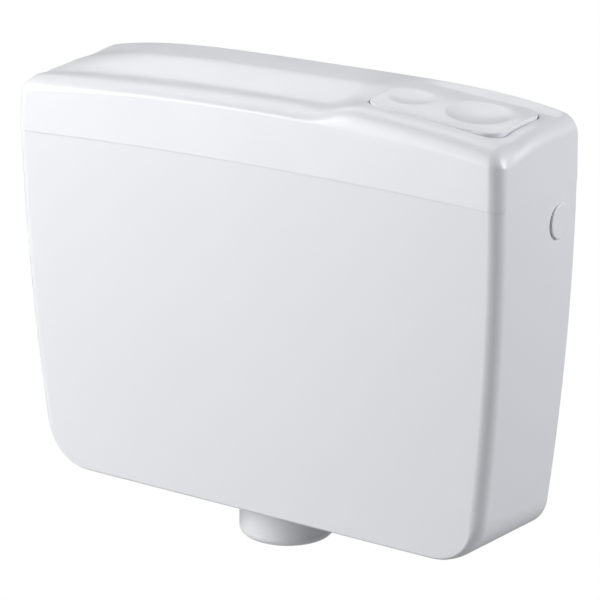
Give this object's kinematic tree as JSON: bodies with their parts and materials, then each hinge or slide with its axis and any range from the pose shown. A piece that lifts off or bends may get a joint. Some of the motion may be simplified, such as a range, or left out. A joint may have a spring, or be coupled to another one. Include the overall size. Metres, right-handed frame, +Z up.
{
  "type": "toilet cistern",
  "caption": "Wall-hung plastic toilet cistern: rounded tank, lift-off lid with a rocking dual-flush plate, flush valve, float-fed side inlet and bottom outlet.",
  "frame": {"origin": "midway between the two wall screw holes, on the flat back face of the tank", "axes": "+X to the right along the wall as seen from the front, +Y into the wall, +Z up"},
  "size_m": [0.4629, 0.1155, 0.3708],
  "materials": {
    "shell_plastic": "white moulded plastic, satin gloss",
    "valve_plastic": "natural white moulded acetal",
    "float_plastic": "pale grey moulded plastic",
    "seal_rubber": "soft black rubber",
    "pin_steel": "drawn stainless steel"
  },
  "bodies": {
    "tank_body": {"tank": "shell_plastic", "blanking_plug": "shell_plastic", "plug_washer": "seal_rubber", "plug_nut": "valve_plastic", "flush_pipe_nut": "shell_plastic", "flush_pipe_seal": "seal_rubber", "outlet_back_nut": "valve_plastic", "valve_base": "valve_plastic", "base_gasket": "seal_rubber", "guide_tower": "valve_plastic", "lever_bracket": "valve_plastic", "bracket_clips": "pin_steel", "full_lever_pin": "pin_steel", "half_lever_pin": "pin_steel", "inlet_valve_body": "valve_plastic", "inlet_washer": "seal_rubber", "inlet_lock_nut": "valve_plastic", "inlet_nozzle": "valve_plastic", "float_arm_pin": "pin_steel", "silencer_tube": "valve_plastic"},
    "lid_body": {"lid": "shell_plastic", "plate_pivot_pin": "pin_steel"},
    "plate_body": {"push_plate": "shell_plastic"},
    "valve_body": {"overflow_tube": "valve_plastic", "valve_seal": "seal_rubber", "seal_retainer": "valve_plastic", "flush_float": "float_plastic", "lift_rod": "valve_plastic"},
    "vent_body": {"vent_rod": "float_plastic", "vent_seal": "seal_rubber"},
    "full_lever_body": {"full_flush_lever": "valve_plastic"},
    "half_lever_body": {"half_flush_lever": "valve_plastic"},
    "float_arm_body": {"float_arm": "valve_plastic", "float_adjuster": "float_plastic", "float": "float_plastic"},
    "piston_body": {"inlet_piston": "valve_plastic", "piston_seal": "seal_rubber"}
  },
  "joints": [
    {"name": "lid_lift", "type": "slide", "parent": "tank_body", "child": "lid_body", "axis": [0, 0, 1], "range_m": [0, 0.12]},
    {"name": "plate_rock", "type": "hinge", "parent": "lid_body", "child": "plate_body", "pos_m": [0.143, -0.0535, 0.0648], "axis": [0, 1, 0], "range_deg": [-7.2, 7.2]},
    {"name": "valve_lift", "type": "slide", "parent": "tank_body", "child": "valve_body", "axis": [0, 0, 1], "range_m": [0, 0.0138]},
    {"name": "full_lever_turn", "type": "hinge", "parent": "tank_body", "child": "full_lever_body", "pos_m": [0.1332, -0.05371, 0.029], "axis": [0, 1, 0], "range_deg": [0, 5.9]},
    {"name": "half_lever_turn", "type": "hinge", "parent": "tank_body", "child": "half_lever_body", "pos_m": [0.05, -0.0737, 0.033], "axis": [0, 1, 0], "range_deg": [0, 6.6]},
    {"name": "vent_lift", "type": "slide", "parent": "valve_body", "child": "vent_body", "axis": [0, 0, 1], "range_m": [0, 0.0061]},
    {"name": "float_arm_swing", "type": "hinge", "parent": "tank_body", "child": "float_arm_body", "pos_m": [-0.15975, -0.026, -0.025], "axis": [0, -1, 0], "range_deg": [0, 17]},
    {"name": "piston_slide", "type": "slide", "parent": "tank_body", "child": "piston_body", "axis": [-1, 0, 0], "range_m": [0, 0.0066]}
  ],
  "couplings": [
    {"joint": "full_lever_turn", "follows": "valve_lift", "rad_per_m": 7.3692},
    {"joint": "plate_rock", "follows": "valve_lift", "rad_per_m": 8.992},
    {"joint": "vent_lift", "follows": "half_lever_turn", "m_per_rad": 0.0525},
    {"joint": "piston_slide", "follows": "float_arm_swing", "m_per_rad": 0.022}
  ]
}
